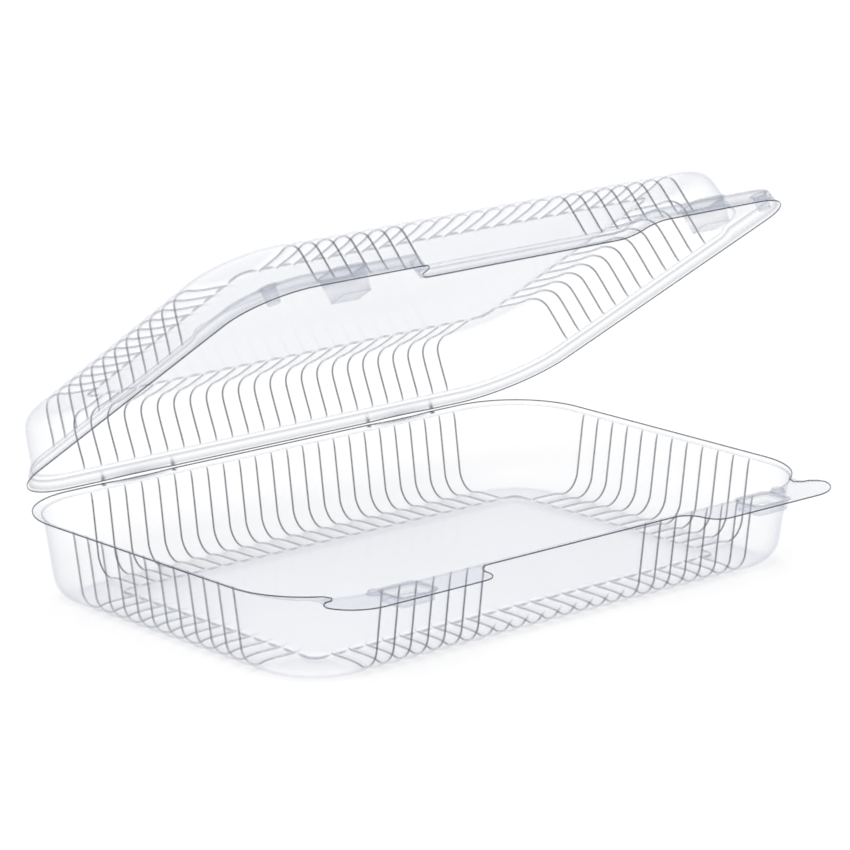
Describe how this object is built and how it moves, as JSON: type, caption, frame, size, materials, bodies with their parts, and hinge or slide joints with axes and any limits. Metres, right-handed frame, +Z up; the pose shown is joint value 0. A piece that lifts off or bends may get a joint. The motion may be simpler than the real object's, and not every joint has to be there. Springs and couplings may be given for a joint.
{
  "type": "hinged clamshell food pack",
  "caption": "Clear fluted plastic food pack: a shallow base tray and a domed lid on a living hinge, with snap latches at two finger tabs.",
  "frame": {"origin": "centre of the tray's foot, on the surface it stands on", "axes": "+X along the hinge, +Y towards the hinge, +Z up"},
  "size_m": [0.235, 0.179, 0.1323],
  "materials": {
    "clear_sheet": "clear glossy thermoformed sheet, faint cool grey tint"
  },
  "bodies": {
    "tray": {"base_tray": "clear_sheet"},
    "lid": {"lid": "clear_sheet"}
  },
  "joints": [
    {"name": "living_hinge", "type": "hinge", "parent": "tray", "child": "lid", "pos_m": [0, 0.08, 0.03015], "axis": [-1, 0, 0], "range_deg": [-33.4, 146.6]}
  ]
}
